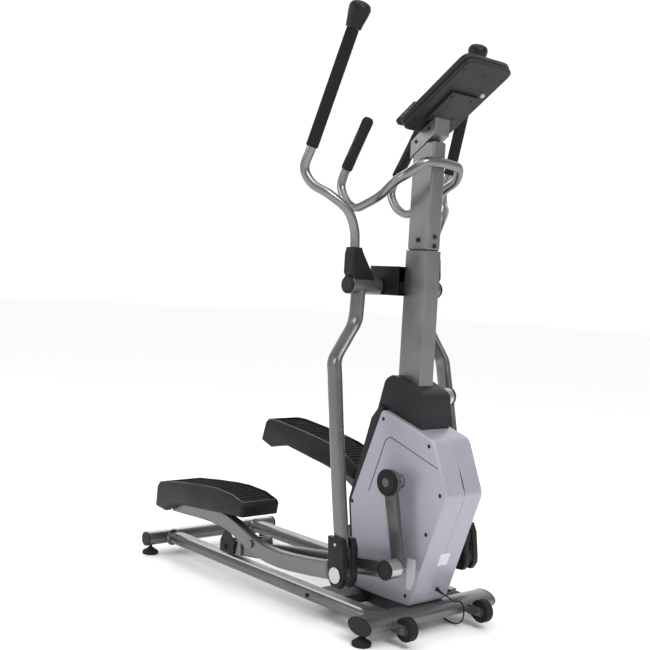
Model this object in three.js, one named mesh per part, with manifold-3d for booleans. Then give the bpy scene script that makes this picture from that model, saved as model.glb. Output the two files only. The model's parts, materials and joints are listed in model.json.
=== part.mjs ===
// Front-drive elliptical trainer, in millimetres. +X is forwards (console end), +Y the user's left, +Z up, floor at Z = 0.
// The linkage is drawn with the right crank just forward of its lowest point.
import * as THREE from "three";
import { mergeVertices } from "three/addons/utils/BufferGeometryUtils.js";
import Module from "manifold-3d";

const wasm = await Module();
wasm.setup();

// ---- driving dimensions -------------------------------------------------------------------------
const GAP = 0.3; // clearance between neighbouring pieces
const ORIGIN_X = -444.25; // middle of the whole object in the layout below, where X = 0 is the front bar
const BAR_Z = 50; // height of both crossbars and of the rails' centres
const REAR_BAR = { x: -979, r: 22, half: 256 };
const FRONT_BAR = { half: 238, a: 41, b: 22.5 };
const CAP_T = 5;
const RAIL = { y: 169, r: 19, trackZ: 71.3 };
const FOOT = { r: 25.5, h: 16, rearY: 240, frontY: 230 };
const WHEEL = { x: 73, y: 146, z: 48, r: 30.5, w: 24, bore: 5.3 };
const COLUMN = { x0: -124, x1: -44, half: 27, bottom: 500.4, joint: 1007 };
const MAST = { x0: -122, x1: -46, half: 25, top: 1300 };
const HOUSE = {
  half: 71.8,
  wall: 3,
  side: [[-135, 574], [58, 516], [113, 380], [7, 73], [-205, 73], [-238, 306]],
};
const PIVOT = { x: -188, z: 904, r: 8, half: 171 }; // swing arm axle, and how far out its hubs reach
const CRANK = { x: -52, z: 393, r: 219, t: 12.8 }; // axle centre, throw, rest angle forward of straight down
const ROD = { length: 645.5, rollerZ: 95, a: 163.3, p: 26.9 }; // a, p: where the pedal arm's pivot sits on the rod
const ARM = { ap: 376.4, swing: 758.2, y: 205, inner: 135 };
const ROLLER_R = 23.4;
const CONSOLE = { x: -108, z: 1325, slope: 34.4, length: 274, half: 90 };
const CORD_R = 2;

// ---- helpers ------------------------------------------------------------------------------------
const rad = THREE.MathUtils.degToRad;
const v3 = (x, y, z) => new THREE.Vector3(x, y, z);
const root = new THREE.Group();
const middle = new THREE.Group();
middle.position.x = -ORIGIN_X;
root.add(middle);

function solid(geometry) {
  const g = geometry.clone();
  g.deleteAttribute("normal");
  g.deleteAttribute("uv");
  const m = mergeVertices(g, 1e-4);
  const mesh = new wasm.Mesh({
    numProp: 3,
    vertProperties: new Float32Array(m.attributes.position.array),
    triVerts: new Uint32Array(m.index.array),
  });
  return new wasm.Manifold(mesh);
}
const union = (...parts) => parts.reduce((a, b) => a.add(b));
const cut = (a, ...parts) => parts.reduce((s, b) => s.subtract(b), a);

function surface(manifold) {
  const m = manifold.getMesh();
  const n = m.numProp;
  const p = new Float32Array(m.numVert * 3);
  for (let i = 0; i < m.numVert; i++) p.set(m.vertProperties.subarray(i * n, i * n + 3), i * 3);
  const g = new THREE.BufferGeometry();
  g.setAttribute("position", new THREE.BufferAttribute(p, 3));
  g.setIndex(new THREE.BufferAttribute(new Uint32Array(m.triVerts), 1));
  const flat = g.toNonIndexed();
  flat.computeVertexNormals();
  return flat;
}

function box(x0, x1, y0, y1, z0, z1) {
  const g = new THREE.BoxGeometry(x1 - x0, y1 - y0, z1 - z0);
  return solid(g.translate((x0 + x1) / 2, (y0 + y1) / 2, (z0 + z1) / 2));
}

// A cylinder along Y from y0 to y1, round (x, z).
function drum(x, z, r, y0, y1, sides = 20) {
  return solid(new THREE.CylinderGeometry(r, r, y1 - y0, sides).translate(x, (y0 + y1) / 2, z));
}

// A profile of [radius, height] turned round the line from a to b.
function turned(profile, a, b, sides = 20) {
  const g = new THREE.LatheGeometry(profile.map(([r, h]) => new THREE.Vector2(r, h)), sides);
  const q = new THREE.Quaternion().setFromUnitVectors(v3(0, 1, 0), b.clone().sub(a).normalize());
  return solid(g.applyQuaternion(q).translate(a.x, a.y, a.z));
}

// An outline of [x, z] corners extruded along Y, its long edges chamfered by bevel.
function slab(outline, y0, y1, bevel = 0) {
  const shape = new THREE.Shape(outline.map(([x, z]) => new THREE.Vector2(x, z)));
  const g = new THREE.ExtrudeGeometry(shape, {
    depth: y1 - y0 - 2 * bevel,
    bevelEnabled: bevel > 0,
    bevelThickness: bevel,
    bevelSize: bevel,
    bevelOffset: -bevel,
    bevelSegments: 1,
    curveSegments: 6,
  });
  return g.rotateX(Math.PI / 2).translate(0, y1 - bevel, 0);
}

// The outline of [x, z] corners with each corner rounded by r.
function rounded(outline, r, steps = 3) {
  const out = [];
  outline.forEach((p, i) => {
    const a = new THREE.Vector2(...outline[(i + outline.length - 1) % outline.length]);
    const b = new THREE.Vector2(...outline[(i + 1) % outline.length]);
    const c = new THREE.Vector2(...p);
    const da = a.sub(c);
    const db = b.sub(c);
    const d = Math.min(r, da.length() / 2.2, db.length() / 2.2);
    const s = c.clone().addScaledVector(da.normalize(), d);
    const e = c.clone().addScaledVector(db.normalize(), d);
    for (let k = 0; k <= steps; k++) {
      const t = k / steps;
      const q = s.clone().multiplyScalar((1 - t) ** 2);
      q.addScaledVector(c, 2 * t * (1 - t)).addScaledVector(e, t * t);
      out.push([q.x, q.y]);
    }
  });
  return out;
}

// The outline of a strip of one width round a smooth line through [x, z] points.
function strip(points, width, steps) {
  const curve = new THREE.CatmullRomCurve3(points.map(([x, z]) => v3(x, z, 0)), false, "centripetal");
  const left = [];
  const right = [];
  for (let i = 0; i <= steps; i++) {
    const p = curve.getPointAt(i / steps);
    const t = curve.getTangentAt(i / steps);
    left.push([p.x - (t.y * width) / 2, p.y + (t.x * width) / 2]);
    right.unshift([p.x + (t.y * width) / 2, p.y - (t.x * width) / 2]);
  }
  return [...left, ...right].reverse();
}

// A chamfered flat bar along a smooth line through [x, y, z] points, wide across the XZ plane and thick along Y.
function bar(points, width, thick, chamfer, steps) {
  const [w, t] = [width / 2, thick / 2];
  const corners = [[w, t - chamfer], [w - chamfer, t], [chamfer - w, t], [-w, t - chamfer]];
  const outline = [...corners, ...corners.map(([a, b]) => [-a, -b])];
  const shape = new THREE.Shape(outline.map(([a, b]) => new THREE.Vector2(a, b)));
  const g = new THREE.ExtrudeGeometry(shape, { depth: 1, steps, bevelEnabled: false });
  const curve = new THREE.CatmullRomCurve3(points.map((p) => v3(...p)), false, "centripetal");
  const p = g.attributes.position;
  for (let i = 0; i < p.count; i++) {
    const at = curve.getPointAt(THREE.MathUtils.clamp(p.getZ(i), 0, 1));
    const along = curve.getTangentAt(THREE.MathUtils.clamp(p.getZ(i), 0, 1));
    const across = v3(along.z, 0, -along.x).normalize();
    at.addScaledVector(across, p.getX(i));
    p.setXYZ(i, at.x, at.y + p.getY(i), at.z);
  }
  return solid(g);
}

// A round tube along a smooth line through points.
function tube(points, r, steps, sides = 12) {
  const circle = new THREE.Shape();
  for (let i = 0; i < sides; i++) {
    const a = (i / sides) * 2 * Math.PI;
    circle[i ? "lineTo" : "moveTo"](r * Math.cos(a), r * Math.sin(a));
  }
  const path = new THREE.CatmullRomCurve3(points, false, "centripetal");
  return solid(new THREE.ExtrudeGeometry(circle, { steps, extrudePath: path, bevelEnabled: false }));
}

// Moves each vertex sideways by shift(x, z).
function lean(geometry, shift) {
  const p = geometry.attributes.position;
  for (let i = 0; i < p.count; i++) p.setY(i, p.getY(i) + shift(p.getX(i), p.getZ(i)));
  return geometry;
}

const PAINT = {
  frame: [0x5f635f, 0.42, 0.75],
  column: [0x8b8f8c, 0.4, 0.7],
  chrome: [0xa9aba9, 0.25, 0.9],
  steel: [0xb4b4b0, 0.35, 0.9],
  black: [0x1b1c1d, 0.5, 0],
  rubber: [0x141414, 0.85, 0],
  foam: [0x171717, 0.95, 0],
  shell: [0x9a9bab, 0.4, 0.35],
  charcoal: [0x3a3c3d, 0.55, 0],
  grey: [0xb0b1ad, 0.5, 0.1],
};

function piece(name, body, paint, parent = middle) {
  const [color, roughness, metalness] = PAINT[paint];
  const material = new THREE.MeshStandardMaterial({ color, roughness, metalness, name });
  const mesh = new THREE.Mesh(body.isBufferGeometry ? body : surface(body), material);
  mesh.name = name;
  parent.add(mesh);
  return mesh;
}

// ---- linkage geometry ---------------------------------------------------------------------------
// Every point of one side's linkage for a crank angle in degrees forward of straight down.
function linkage(angle) {
  const t = rad(angle);
  const B = [CRANK.x + CRANK.r * Math.sin(t), CRANK.z - CRANK.r * Math.cos(t)];
  const phi = Math.asin((B[1] - ROD.rollerZ) / ROD.length);
  const R = [B[0] - ROD.length * Math.cos(phi), ROD.rollerZ];
  const P = [
    R[0] + ROD.a * Math.cos(phi) - ROD.p * Math.sin(phi),
    R[1] + ROD.a * Math.sin(phi) + ROD.p * Math.cos(phi),
  ];
  const dx = P[0] - PIVOT.x;
  const dz = P[1] - PIVOT.z;
  const d = Math.hypot(dx, dz);
  const along = (ARM.swing ** 2 - ARM.ap ** 2 + d * d) / (2 * d);
  const off = Math.sqrt(ARM.swing ** 2 - along ** 2);
  const A = [PIVOT.x + (dx * along - dz * off) / d, PIVOT.z + (dz * along + dx * off) / d];
  return {
    B,
    R,
    P,
    A,
    phi,
    psi: Math.atan2(A[1] - P[1], A[0] - P[0]),
    swing: Math.atan2(A[0] - PIVOT.x, PIVOT.z - A[1]),
    crank: t,
  };
}
const REST = linkage(CRANK.t);
const SIDES = [
  { tag: "right", pose: REST, mirror: 1 },
  { tag: "left", pose: linkage(CRANK.t + 180), mirror: -1 },
];

// Adds the right-hand solid to one side, turned by angle (X towards Z) about pivot and moved to target.
function hang(name, geometry, paint, side, angle, target) {
  const holder = new THREE.Group();
  holder.scale.y = side.mirror;
  middle.add(holder);
  const mesh = piece(name + "_" + side.tag, geometry, paint, holder);
  mesh.rotation.y = -angle;
  mesh.position.set(target[0], 0, target[1]);
  return mesh;
}

// ---- base frame ---------------------------------------------------------------------------------
const rearTube = drum(REAR_BAR.x, BAR_Z, REAR_BAR.r, -REAR_BAR.half, REAR_BAR.half, 24);
piece("rear_crossbar", rearTube, "frame");

function oval(a, b, sides = 24) {
  return Array.from({ length: sides }, (_, i) => {
    const t = (i / sides) * 2 * Math.PI;
    return [a * Math.cos(t), BAR_Z + b * Math.sin(t)];
  });
}
let frontBar = solid(slab(oval(FRONT_BAR.a, FRONT_BAR.b), -FRONT_BAR.half, FRONT_BAR.half));
for (const s of [1, -1]) {
  for (const inner of [WHEEL.w / 2 + 1.2, -WHEEL.w / 2 - 5.2]) {
    const y0 = s > 0 ? WHEEL.y + inner : -WHEEL.y - inner - 4;
    const ear = rounded([[30, 34], [30, 62], [WHEEL.x + 9, 60], [WHEEL.x + 9, 36]], 12);
    frontBar = frontBar.add(solid(slab(ear.reverse(), y0, y0 + 4)));
  }
  const ends = [s * WHEEL.y - WHEEL.w / 2 - 6, s * WHEEL.y + WHEEL.w / 2 + 6];
  frontBar = frontBar.add(drum(WHEEL.x, WHEEL.z, WHEEL.bore - GAP, ...ends, 16));
  const boltY = s > 0 ? WHEEL.y + WHEEL.w / 2 + 5 : -WHEEL.y - WHEEL.w / 2 - 9;
  frontBar = frontBar.add(drum(WHEEL.x, WHEEL.z, 8, boltY, boltY + 4, 6));
}
piece("front_crossbar", frontBar, "frame");

for (const [tag, s] of [["right", -1], ["left", 1]]) {
  const span = (half) => (s > 0 ? [half + GAP, half + GAP + CAP_T] : [-half - GAP - CAP_T, -half - GAP]);
  const rearCap = drum(REAR_BAR.x, BAR_Z, REAR_BAR.r + 0.8, ...span(REAR_BAR.half), 24);
  piece("rear_cap_" + tag, rearCap, "black");
  const frontCap = slab(oval(FRONT_BAR.a + 0.8, FRONT_BAR.b + 0.8), ...span(FRONT_BAR.half), 1.5);
  piece("front_cap_" + tag, solid(frontCap), "black");

  const railTube = solid(
    new THREE.CylinderGeometry(RAIL.r, RAIL.r, 979, 24).rotateZ(Math.PI / 2).translate(-489.5, s * RAIL.y, BAR_Z),
  );
  const track = box(-930, -50, s * RAIL.y - 13, s * RAIL.y + 13, BAR_Z + 8, RAIL.trackZ);
  const clearRear = drum(REAR_BAR.x, BAR_Z, REAR_BAR.r + GAP, -260, 260, 24);
  const clearFront = solid(slab(oval(FRONT_BAR.a + GAP, FRONT_BAR.b + GAP), -260, 260));
  piece("rail_" + tag, cut(union(railTube, track), clearRear, clearFront), "frame");

  const tyre = cut(
    union(
      drum(WHEEL.x, WHEEL.z, WHEEL.r, s * WHEEL.y - WHEEL.w / 2 + 2, s * WHEEL.y + WHEEL.w / 2 - 2, 24),
      drum(WHEEL.x, WHEEL.z, WHEEL.r - 3, s * WHEEL.y - WHEEL.w / 2, s * WHEEL.y + WHEEL.w / 2, 24),
    ),
    drum(WHEEL.x, WHEEL.z, WHEEL.bore, -WHEEL.y * 2, WHEEL.y * 2, 16),
  );
  piece("transport_wheel_" + tag, tyre, "rubber");

  for (const [end, x, y, under] of [
    ["rear", REAR_BAR.x, FOOT.rearY, BAR_Z - REAR_BAR.r],
    ["front", 0, FOOT.frontY, BAR_Z - FRONT_BAR.b],
  ]) {
    const profile = [
      [0, 0],
      [FOOT.r - 2, 0],
      [FOOT.r, 2],
      [FOOT.r, 9],
      [FOOT.r - 5, 13],
      [12, FOOT.h],
      [12, 20],
      [5, 20],
      [5, under - GAP - 0.2],
      [0, under - GAP - 0.2],
    ];
    const foot = turned(profile, v3(x, s * y, 0), v3(x, s * y, 1));
    piece("foot_" + end + "_" + tag, foot, "rubber");
  }
}

// Beam under the housing, with the cross member that ties both rails to it.
const beam = union(
  box(-268, -30, -36, 36, 30, 70),
  cut(
    box(-268, -172, -RAIL.y, RAIL.y, 36, 62),
    ...[-1, 1].map((s) =>
      solid(
        new THREE.CylinderGeometry(RAIL.r + GAP, RAIL.r + GAP, 400, 24)
          .rotateZ(Math.PI / 2)
          .translate(-200, s * RAIL.y, BAR_Z),
      ),
    ),
    ...[-1, 1].map((s) => box(-400, 0, s * RAIL.y - 13.4, s * RAIL.y + 13.4, 40, 80)),
  ),
);
piece("base_beam", cut(beam, solid(slab(oval(FRONT_BAR.a + GAP, FRONT_BAR.b + GAP), -60, 60))), "frame");

// ---- column, mast and console -------------------------------------------------------------------
piece(
  "column_lower",
  solid(
    slab(
      [
        [COLUMN.x0, COLUMN.bottom],
        [COLUMN.x1, COLUMN.bottom],
        [COLUMN.x1, COLUMN.joint],
        [COLUMN.x0, COLUMN.joint],
      ],
      -COLUMN.half,
      COLUMN.half,
      2,
    ),
  )
    .add(box(PIVOT.x, COLUMN.x0 + 1, -20, 20, PIVOT.z - 17, PIVOT.z + 17))
    .add(drum(PIVOT.x, PIVOT.z, 17, -55, 55, 20))
    .subtract(drum(PIVOT.x, PIVOT.z, PIVOT.r + GAP, -80, 80, 16)),
  "column",
);
piece("mast", box(MAST.x0, MAST.x1, -MAST.half, MAST.half, COLUMN.joint + GAP, MAST.top), "column");

// The console's own frame: s along its back panel from the lower edge, h up from that panel.
const cs = Math.cos(rad(CONSOLE.slope));
const sn = Math.sin(rad(CONSOLE.slope));
const onConsole = (s, h) => [CONSOLE.x + s * cs - h * sn, CONSOLE.z + s * sn + h * cs];
function panel(outline, y0, y1, h0, h1, bevel = 0) {
  // outline: [s, y] corners; the panel stands h0 to h1 over the back panel
  const shape = new THREE.Shape(outline.map(([s, y]) => new THREE.Vector2(s, y)));
  const g = new THREE.ExtrudeGeometry(shape, {
    depth: h1 - h0 - 2 * bevel,
    bevelEnabled: bevel > 0,
    bevelThickness: bevel,
    bevelSize: bevel,
    bevelOffset: -bevel,
    bevelSegments: 1,
    curveSegments: 6,
  });
  g.translate(0, 0, h0 + bevel).rotateY(-rad(CONSOLE.slope));
  return solid(g.translate(CONSOLE.x, 0, CONSOLE.z));
}
const consoleEdge = (inset, r) =>
  rounded(
    [
      [inset, inset - CONSOLE.half],
      [CONSOLE.length - inset, inset - CONSOLE.half],
      [CONSOLE.length - inset, CONSOLE.half - inset],
      [inset, CONSOLE.half - inset],
    ],
    r,
    4,
  );
piece("console_back", panel(consoleEdge(1, 26), 0, 0, 0, 13, 3), "charcoal");
const BUTTON = { s: 113, y: [-26, 26] };
const upFrom = (y) => [0, 1].map((h) => v3(onConsole(BUTTON.s, h)[0], y, onConsole(BUTTON.s, h)[1]));
const ledge = rounded([[-26, -62], [58, -62], [58, 62], [-26, 62]], 8, 2);
const ledgeFoot = [[8, -56], [52, -56], [52, 56], [8, 56]];
piece(
  "console_face",
  cut(
    union(panel(consoleEdge(0, 27), 0, 0, 13.3, 30, 3), panel(ledge, 0, 0, 40, 58, 3), panel(ledgeFoot, 0, 0, 28, 42)),
    panel([[124, -64], [238, -64], [238, 64], [124, 64]], 0, 0, 28, 45),
    ...BUTTON.y.map((y) => turned([[0, 16], [7.5, 16], [7.5, 60], [0, 60]], ...upFrom(y), 16)),
  ),
  "grey",
);
BUTTON.y.forEach((y, i) => {
  const cap = turned([[0, 19.5], [7, 19.5], [7, 32], [6, 33], [0, 33]], ...upFrom(y), 16);
  piece("console_button_" + (i + 1), cap, "black");
});

const plate = [onConsole(60, -6.5), onConsole(166, -6.5), onConsole(166, -0.4), onConsole(60, -0.4)];
const headTop = (x) => CONSOLE.z + ((x - CONSOLE.x) * sn) / cs - 6 / cs;
const head = [[-43, 1317], [-43, headTop(-43)], [-104, headTop(-104)], [-127.5, 1302], [-127.5, 1258]];
piece(
  "console_bracket",
  cut(
    union(solid(slab(plate, -50, 50)), solid(slab([...head].reverse(), -28.5, 28.5))),
    box(MAST.x0 - GAP, MAST.x1 + GAP, -MAST.half - GAP, MAST.half + GAP, 1200, MAST.top + GAP),
  ),
  "charcoal",
);

// ---- housing ------------------------------------------------------------------------------------
const grow = (outline, d) => {
  const c = outline.reduce((a, p) => [a[0] + p[0] / outline.length, a[1] + p[1] / outline.length], [0, 0]);
  return outline.map((p, i) => {
    const a = outline[(i + outline.length - 1) % outline.length];
    const b = outline[(i + 1) % outline.length];
    const n1 = new THREE.Vector2(p[1] - a[1], a[0] - p[0]).normalize();
    const n2 = new THREE.Vector2(b[1] - p[1], p[0] - b[0]).normalize();
    if (n1.dot(new THREE.Vector2(p[0] - c[0], p[1] - c[1])) < 0) n1.negate();
    if (n2.dot(new THREE.Vector2(p[0] - c[0], p[1] - c[1])) < 0) n2.negate();
    const k = d / (1 + n1.dot(n2));
    return [p[0] + (n1.x + n2.x) * k, p[1] + (n1.y + n2.y) * k];
  });
};
const houseSide = [...HOUSE.side].reverse();
const shellOuter = solid(slab(rounded(houseSide, 14), -HOUSE.half, HOUSE.half, 4));
const inside = solid(
  slab(rounded(grow(houseSide, -HOUSE.wall), 11), -HOUSE.half + HOUSE.wall, HOUSE.half - HOUSE.wall),
);
const housing = cut(
  shellOuter,
  inside,
  drum(CRANK.x, CRANK.z, 18.5, -100, 100, 20),
  box(COLUMN.x0 - 2, COLUMN.x1 + 2, -COLUMN.half - 2, COLUMN.half + 2, 480, 700),
  box(-192, -20, -40, 40, 60, 82),
);
piece("housing_cover_right", housing.subtract(box(-400, 400, -0.2, 200, 0, 800)), "shell");
piece("housing_cover_left", housing.subtract(box(-400, 400, -200, 0.2, 0, 800)), "shell");

const blockSide = [[-3, 500], [-3, 622], [-22, 637], [-117, 670], [-145, 653], [-176, 540]];
const rimSide = [
  [-120, 560],
  [-146, 584],
  [-178, 545],
  [-248, 308],
  [-215, 76],
  [-204, 76],
  [-228, 306],
];
const shroud = cut(
  union(
    solid(slab(rounded(blockSide, 12), -54, 54)),
    solid(slab(rimSide, -66, 66)),
  ),
  solid(slab(grow(houseSide, GAP + 0.1), -100, 100)),
  box(COLUMN.x0 - GAP, COLUMN.x1 + GAP, -COLUMN.half - GAP, COLUMN.half + GAP, 400, 800),
);
piece("shroud", shroud, "charcoal");

// ---- drive inside the housing -------------------------------------------------------------------
const FLY = { x: -95, z: 200, r: 104, pulley: 22 };
const PULLEY = { r: 108, y0: 34, y1: 50 };
const innerFrame = cut(
  union(
    box(-150, -112, -25, 25, 70.3, 500),
    box(-150, -44, -25, 25, 455, 500),
    box(-140, CRANK.x, -25, 25, CRANK.z - 18, CRANK.z + 18),
    drum(CRANK.x, CRANK.z, 22, -29, 29, 20),
    box(-140, FLY.x, -16, 16, FLY.z - 12, FLY.z + 12),
    drum(FLY.x, FLY.z, 15, -18, 18, 16),
  ),
  drum(CRANK.x, CRANK.z, 10.3, -80, 80, 20),
  drum(FLY.x, FLY.z, 6.3, -80, 80, 16),
);
piece("inner_frame", innerFrame, "frame");
piece(
  "flywheel",
  union(
    drum(FLY.x, FLY.z, FLY.r, -52, -28, 28),
    drum(FLY.x, FLY.z, 6, -60, 56, 16),
    drum(FLY.x, FLY.z, FLY.pulley, PULLEY.y0, PULLEY.y1, 20),
  ),
  "steel",
);
function beltLoop(grown) {
  const p1 = v3(CRANK.x, CRANK.z, 0);
  const p2 = v3(FLY.x, FLY.z, 0);
  const base = Math.atan2(p2.y - p1.y, p2.x - p1.x);
  const open = Math.acos((PULLEY.r - FLY.pulley) / p1.distanceTo(p2));
  const out = [];
  for (let i = 0; i <= 18; i++) {
    const a = base + open + ((2 * Math.PI - 2 * open) * i) / 18;
    out.push([p1.x + (PULLEY.r + grown) * Math.cos(a), p1.y + (PULLEY.r + grown) * Math.sin(a)]);
  }
  for (let i = 0; i <= 6; i++) {
    const a = base - open + (2 * open * i) / 6;
    out.push([p2.x + (FLY.pulley + grown) * Math.cos(a), p2.y + (FLY.pulley + grown) * Math.sin(a)]);
  }
  return out;
}
piece(
  "drive_belt",
  solid(slab(beltLoop(3.6), PULLEY.y0 + 1, PULLEY.y1 - 1)).subtract(
    solid(slab(beltLoop(1), PULLEY.y0 - 1, PULLEY.y1 + 1)),
  ),
  "rubber",
);
piece(
  "crank_axle",
  union(
    drum(CRANK.x, CRANK.z, 10, -97.7, 97.7, 20),
    drum(CRANK.x, CRANK.z, PULLEY.r, PULLEY.y0, PULLEY.y1, 32),
    drum(CRANK.x, CRANK.z, 17, 60, 97.7, 20),
    drum(CRANK.x, CRANK.z, 17, -97.7, -60, 20),
  ),
  "steel",
);

// ---- swing arm axle and its cover ---------------------------------------------------------------
piece(
  "pivot_axle",
  union(
    drum(PIVOT.x, PIVOT.z, PIVOT.r, -PIVOT.half - 3, PIVOT.half + 3, 16),
    drum(PIVOT.x, PIVOT.z, 24, -PIVOT.half - 6, -PIVOT.half - 2, 24),
    drum(PIVOT.x, PIVOT.z, 24, PIVOT.half + 2, PIVOT.half + 6, 24),
  ),
  "black",
);
const COVER = { x0: -234, x1: -114, half: 60, z0: 882, z1: 961, wall: 3 };
function coverBlock(inset) {
  const { x0, x1, half, z0, z1 } = COVER;
  const plan = rounded(
    [
      [x0 + inset, -half + inset],
      [x1, -half + inset],
      [x1, half - inset],
      [x0 + inset, half - inset],
    ],
    22,
    4,
  );
  const g = new THREE.ExtrudeGeometry(
    new THREE.Shape(plan.map(([x, y]) => new THREE.Vector2(x, y))),
    { depth: z1 - z0 - 2 * inset, bevelEnabled: false },
  );
  const front = box(x1 - 30, x1, -half + inset, half - inset, z0 + inset, z1 - inset);
  return solid(g.translate(0, 0, z0 + inset)).add(front);
}
piece(
  "axle_cover",
  cut(
    coverBlock(0),
    coverBlock(COVER.wall),
    box(COLUMN.x0 - GAP, 0, -COLUMN.half - GAP, COLUMN.half + GAP, 800, 1000),
    box(PIVOT.x, COLUMN.x0, -20 - GAP, 20 + GAP, PIVOT.z - 17 - GAP, PIVOT.z + 17 + GAP),
    drum(PIVOT.x, PIVOT.z, PIVOT.r + GAP, -80, 80, 16),
  ),
  "black",
);

// ---- fixed hand bar with the pulse grips --------------------------------------------------------
const PULSE = { r: 12.5, gripR: 16, from: [-300, 101, 1228], to: [-218, 103, 1363] };
const halfBar = [
  [-33, 30, 1240],
  [-36, 66, 1236],
  [-66, 94, 1206],
  [-107, 100, 1185],
  [-160, 100, 1150],
  [-212, 100, 1129],
  [-252, 100, 1119],
  [-294, 100, 1138],
  [-319, 100, 1180],
  [-309, 100.5, 1213],
  PULSE.from,
  [-270, 101.7, 1277.4],
  [-228, 102.8, 1346.6],
];
const barPoints = [...halfBar.map(([x, y, z]) => [x, -y, z]).reverse(), [-32.6, 0, 1242], ...halfBar];
const pulseBar = tube(barPoints.map((p) => v3(...p)), PULSE.r, 50, 10);
piece("pulse_bar", cut(pulseBar, box(MAST.x0, MAST.x1 + GAP, -60, 60, 1100, 1300)), "chrome");
for (const [tag, s] of [["right", -1], ["left", 1]]) {
  const [a, b] = [PULSE.from, PULSE.to].map(([x, y, z]) => v3(x, s * y, z));
  const n = a.distanceTo(b);
  const sleeve = [
    [0, n - 19],
    [13.4, n - 19],
    [13.4, 0],
    [15, 0],
    [PULSE.gripR, 3],
    [PULSE.gripR, n - 12],
    [12, n - 3],
    [0, n],
  ];
  piece("pulse_grip_" + tag, turned(sleeve, a, b, 16), "rubber");
}

// ---- moving linkage -----------------------------------------------------------------------------
// Crank with its hub, drawn straight down from the axle at the origin.
const crank = cut(
  union(
    drum(0, 0, 33, -114, -98, 24),
    solid(slab([[-20, 0], [20, 0], [17, -CRANK.r], [-17, -CRANK.r]].reverse(), -114, -100)),
    drum(0, -CRANK.r, 18, -114, -100, 20),
  ),
  drum(0, 0, 12, -99, 0, 20),
);
const hubCap = union(drum(0, 0, 35, -123, -114.3, 24), drum(0, 0, 31, -126, -122, 24));

// Rod along +X from the roller axle at the origin; it closes in sideways towards the crank.
const rodY = (x) => -RAIL.y + (33.5 * x) / ROD.length;
const rodTube = slab(
  rounded([[46, -23], [ROD.length - 8, -23], [ROD.length - 8, 23], [46, 23]], 6, 2).reverse(),
  -13,
  13,
  3,
);
const forkEar = rounded([[-20, -20], [70, -22], [70, 22], [-8, 22], [-20, 12]], 8, 2);
const rod = union(
  solid(lean(rodTube, rodY)),
  solid(lean(slab(forkEar, 15.6, 19.6), rodY)),
  solid(lean(slab(forkEar, -19.6, -15.6), rodY)),
  solid(lean(slab([[44, -20], [70, -20], [70, 20], [44, 20]].reverse(), -18, 18), rodY)),
  drum(0, 0, 6, -RAIL.y - 22, -RAIL.y + 22, 16),
  drum(0, 0, 10, -RAIL.y - 24, -RAIL.y - 18, 6),
  drum(ROD.length, 0, 24, -157, -114.5, 24),
  drum(ROD.a, ROD.p, 17, -185.5, -150, 20),
  drum(ROD.a, ROD.p, 8, -221, -184, 16),
  drum(ROD.a, ROD.p, 11, -225, -219.4, 20),
);
const roller = cut(
  drum(0, 0, ROLLER_R, -RAIL.y - 13.8, -RAIL.y + 13.8, 24),
  drum(0, 0, 6.3, -RAIL.y - 20, -RAIL.y + 20, 16),
);

// Pedal arm, drawn at rest about its front pivot at the origin.
const fromA = ([x, z]) => [x - REST.A[0], z - REST.A[1]];
const armLine = [
  [-156, 149],
  [-250, 137],
  [-350, 128],
  [-430, 130],
  [-500, 144],
  [-560, 166],
  [-620, 181],
  [-700, 185],
  [-900, 176],
].map(fromA);
const armTube = solid(slab(strip(armLine, 46, 18), -ARM.y - 14, -ARM.y + 14, 4));
const pedalPivot = fromA(REST.P);
const pedalArm = cut(
  union(
    armTube,
    solid(slab([[-60, -21], [0, -19], [0, 19], [-60, 25]], -ARM.y - 7, -ARM.y + 7)),
    drum(0, 0, 19, -ARM.y - 7, -ARM.y + 7, 20),
  ),
  drum(0, 0, 8.3, -ARM.y - 30, -ARM.y + 30, 16),
  drum(...pedalPivot, 8.3, -ARM.y - 30, -ARM.y + 30, 16),
);
const pedalSide = [
  [-957, 226],
  [-946, 241],
  [-905, 251],
  [-800, 264],
  [-700, 274],
  [-640, 277],
  [-560, 273],
  [-508, 259],
  [-500, 248],
  [-506, 216],
  [-560, 213],
  [-690, 201],
  [-830, 191],
  [-868, 175],
  [-905, 155],
  [-960, 160],
].map(fromA);
const pedal = cut(
  solid(slab([...pedalSide].reverse(), -245, -105, 6)),
  solid(slab(strip(armLine, 46.8, 18), -ARM.y - 14.5, -ARM.y + 14.5)),
  solid(slab([[-960, 100], [-900, 176], [-700, 185], [-600, 160]].map(fromA), -219.5, -190.5)),
);

// Swing arm, drawn at rest about the axle at the origin: upright under the hub, then bent outwards.
const fromS = ([x, z]) => [x - PIVOT.x, z - PIVOT.z];
const swingLine = [
  [-188, ARM.inner, 893],
  [-189, ARM.inner, 850],
  [-192, ARM.inner + 2, 805],
  [-192, (ARM.inner + ARM.y) / 2, 753],
  [-190, ARM.y - 2, 702],
  [-184, ARM.y, 660],
  [-146, ARM.y, 389],
  [-121, ARM.y, 234],
  [REST.A[0] - 6, ARM.y, REST.A[1] + 40],
].map(([x, y, z]) => [x - PIVOT.x, -y, z - PIVOT.z]);
const swingTube = (extra) => bar(swingLine, 46 + extra, 25 + extra, 4, 30);
const eye = fromS(REST.A);
const around = (points) => points.map(([x, z]) => [x + eye[0], z + eye[1]]);
const cheek = around([[-23, -8], [-15, -21], [0, -24], [15, -21], [23, -8], [16, 70], [-31, 70]]);
const cheeks = (extra) =>
  [-1, 1].map((k) => {
    const y = -ARM.y + k * 9.9;
    return solid(slab(extra ? grow(cheek, extra) : cheek, y - 2.6 - extra, y + 2.6 + extra));
  });
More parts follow.
